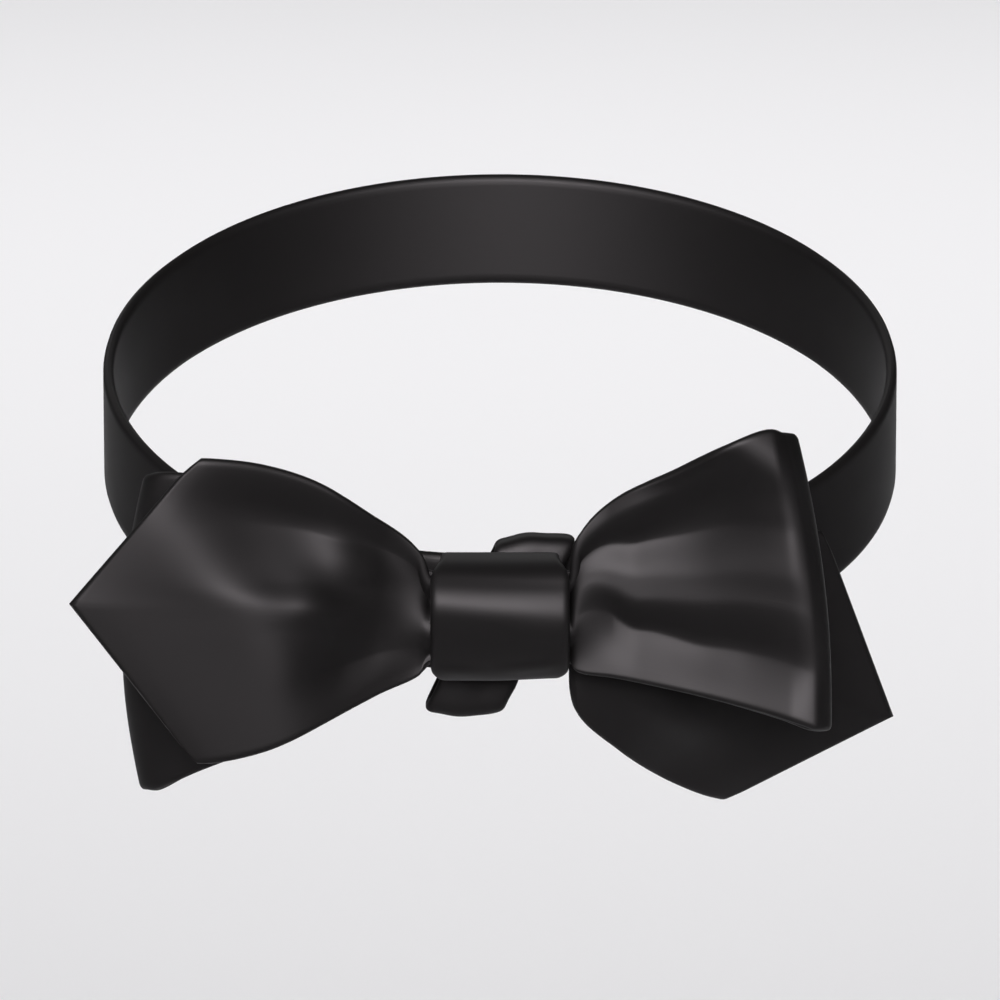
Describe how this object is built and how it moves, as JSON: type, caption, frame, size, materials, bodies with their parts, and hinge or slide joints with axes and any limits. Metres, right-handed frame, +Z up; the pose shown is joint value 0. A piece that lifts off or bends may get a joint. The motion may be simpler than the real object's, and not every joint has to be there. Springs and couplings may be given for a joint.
{
  "type": "diamond point bow tie",
  "caption": "Self-tied black satin bow tie with pointed diamond ends, gathered under a wrapped knot, on a whole neckband loop.",
  "frame": {"origin": "middle of the neckband's loop, where the neck goes through", "axes": "+X to the viewer's right, -Y the way the front of the tie faces, +Z up"},
  "size_m": [0.1327, 0.1473, 0.082],
  "materials": {
    "black_satin": "black silk satin with a soft sheen"
  },
  "bodies": {
    "root": {"front_bow": "black_satin", "back_bow": "black_satin", "knot": "black_satin", "throat_loop": "black_satin", "neckband": "black_satin"}
  },
  "joints": []
}
